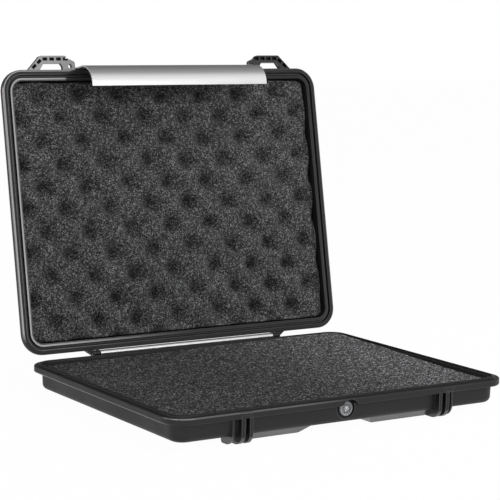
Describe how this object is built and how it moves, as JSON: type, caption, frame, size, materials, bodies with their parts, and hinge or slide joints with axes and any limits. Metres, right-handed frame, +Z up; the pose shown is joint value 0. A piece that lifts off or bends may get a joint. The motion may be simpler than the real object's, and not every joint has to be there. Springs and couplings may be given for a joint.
{
  "type": "laptop hard case",
  "caption": "Hard plastic laptop case: shallow foam-filled base and lid trays on a rear bar hinge, with a full-width swinging latch bar and two strap loops.",
  "frame": {"origin": "middle of the base's underside, on the surface that the case stands on", "axes": "+X along the hinge to the right of someone facing the latch side, +Y from the latch side to the hinge side, +Z up out of the base"},
  "size_m": [0.374, 0.3703, 0.329],
  "materials": {
    "shell_plastic": "satin",
    "loop_plastic": "satin",
    "base_foam": "matte",
    "lid_foam": "matte",
    "bar_aluminium": "satin",
    "steel": "satin",
    "seal_rubber": "matte",
    "valve_plastic": "satin",
    "membrane": "matte"
  },
  "bodies": {
    "base": {"base_shell": "shell_plastic", "base_foam_pad": "base_foam", "base_foam_block": "base_foam", "valve_body": "valve_plastic", "valve_cap": "valve_plastic", "valve_membrane": "membrane", "valve_gasket": "seal_rubber", "valve_nut": "valve_plastic", "hinge_bar": "bar_aluminium", "hinge_bar_screws": "steel", "hinge_pin_right": "steel", "hinge_pin_left": "steel"},
    "lid": {"lid_shell": "shell_plastic", "lid_foam": "lid_foam", "lid_seal": "seal_rubber", "strap_loop_right": "loop_plastic", "strap_loop_left": "loop_plastic", "loop_rivets_right": "steel", "loop_rivets_left": "steel", "latch_pin_right": "steel", "latch_pin_left": "steel"},
    "latch": {"latch_bar": "bar_aluminium"}
  },
  "joints": [
    {"name": "lid_hinge", "type": "hinge", "parent": "base", "child": "lid", "pos_m": [0, 0.1452, 0.0334], "axis": [1, 0, 0], "range_deg": [0, 101]},
    {"name": "latch_hinge", "type": "hinge", "parent": "lid", "child": "latch", "pos_m": [0, 0.21116, 0.31091], "axis": [-1, 0, 0], "range_deg": [0, 105]}
  ]
}
